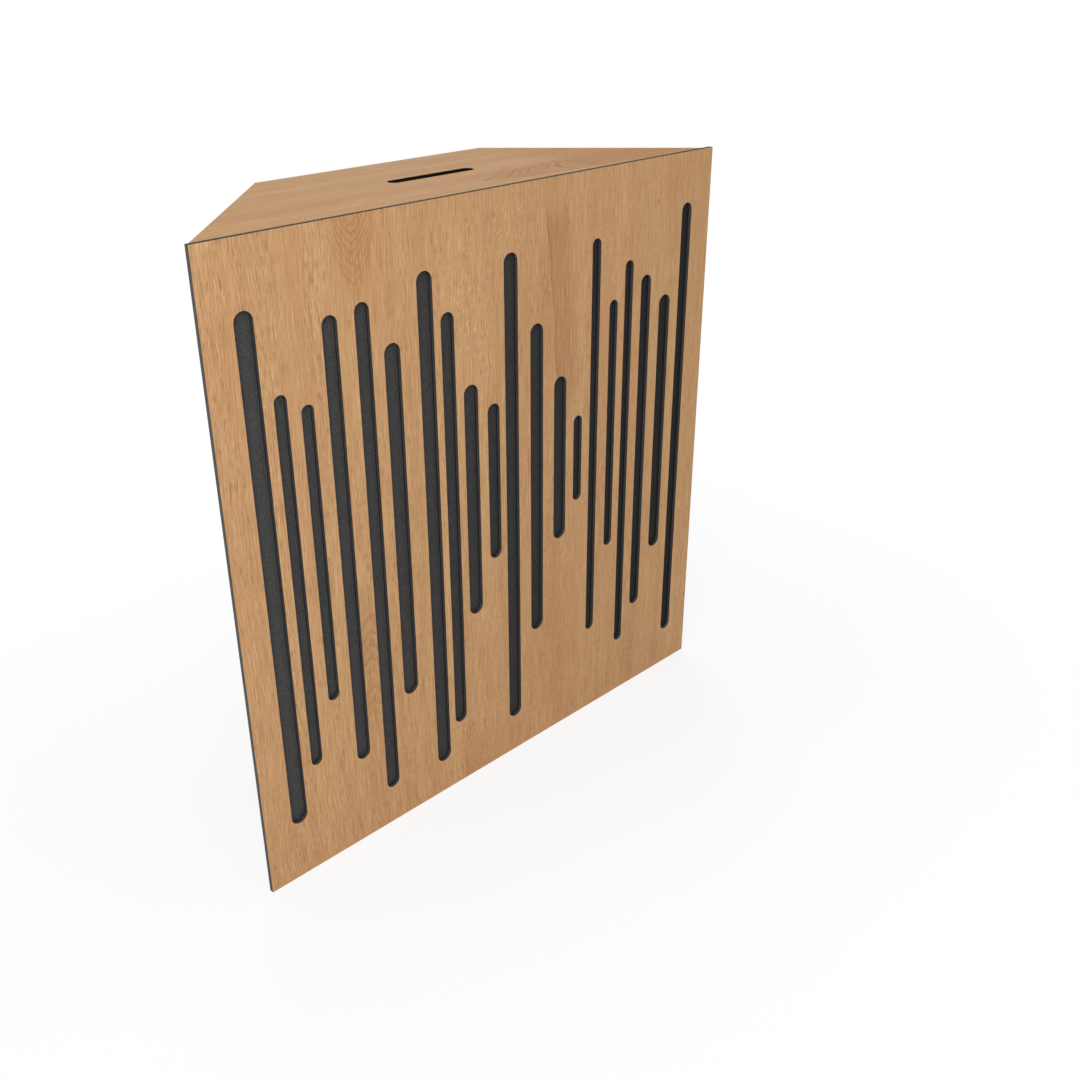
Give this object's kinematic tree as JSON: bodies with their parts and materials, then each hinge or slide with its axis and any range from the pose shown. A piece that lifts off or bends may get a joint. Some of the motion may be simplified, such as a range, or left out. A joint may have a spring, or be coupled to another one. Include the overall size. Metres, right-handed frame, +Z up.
{
  "type": "corner bass trap",
  "caption": "shallow acoustic cabinet for a room corner: slotted square front, side walls at 45 degrees with undercut hanging grooves, hand slot on top",
  "frame": {"origin": "middle of the object's bounding box at its base, on the surface that the front panel's lower edge stands on", "axes": "+Z up, the slotted front faces -Y, +X to the right seen from the front, the narrow back towards +Y into the room's corner"},
  "size_m": [0.595, 0.169, 0.595],
  "materials": {
    "oak_panel": "matte oak decor on black fibreboard, white behind",
    "oak_board": "matte oak decor outside, black fibreboard, white inside",
    "graphite_board": "matte graphite laminate on black fibreboard",
    "tan_fibreboard": "raw thin fibreboard",
    "dark_felt": "pressed dark grey felt",
    "absorber_wool": "fibrous absorber",
    "black_fleece": "black fleece"
  },
  "bodies": {
    "root": {"front_panel": "oak_panel", "front_felt": "dark_felt", "front_absorber": "absorber_wool", "inner_panel": "tan_fibreboard", "left_wall": "graphite_board", "right_wall": "graphite_board", "top_board": "oak_board", "bottom_board": "oak_board", "back_panel": "tan_fibreboard", "handle_pocket": "black_fleece", "cavity_slab_1": "absorber_wool", "cavity_slab_2": "absorber_wool", "cavity_slab_3": "absorber_wool"}
  },
  "joints": []
}
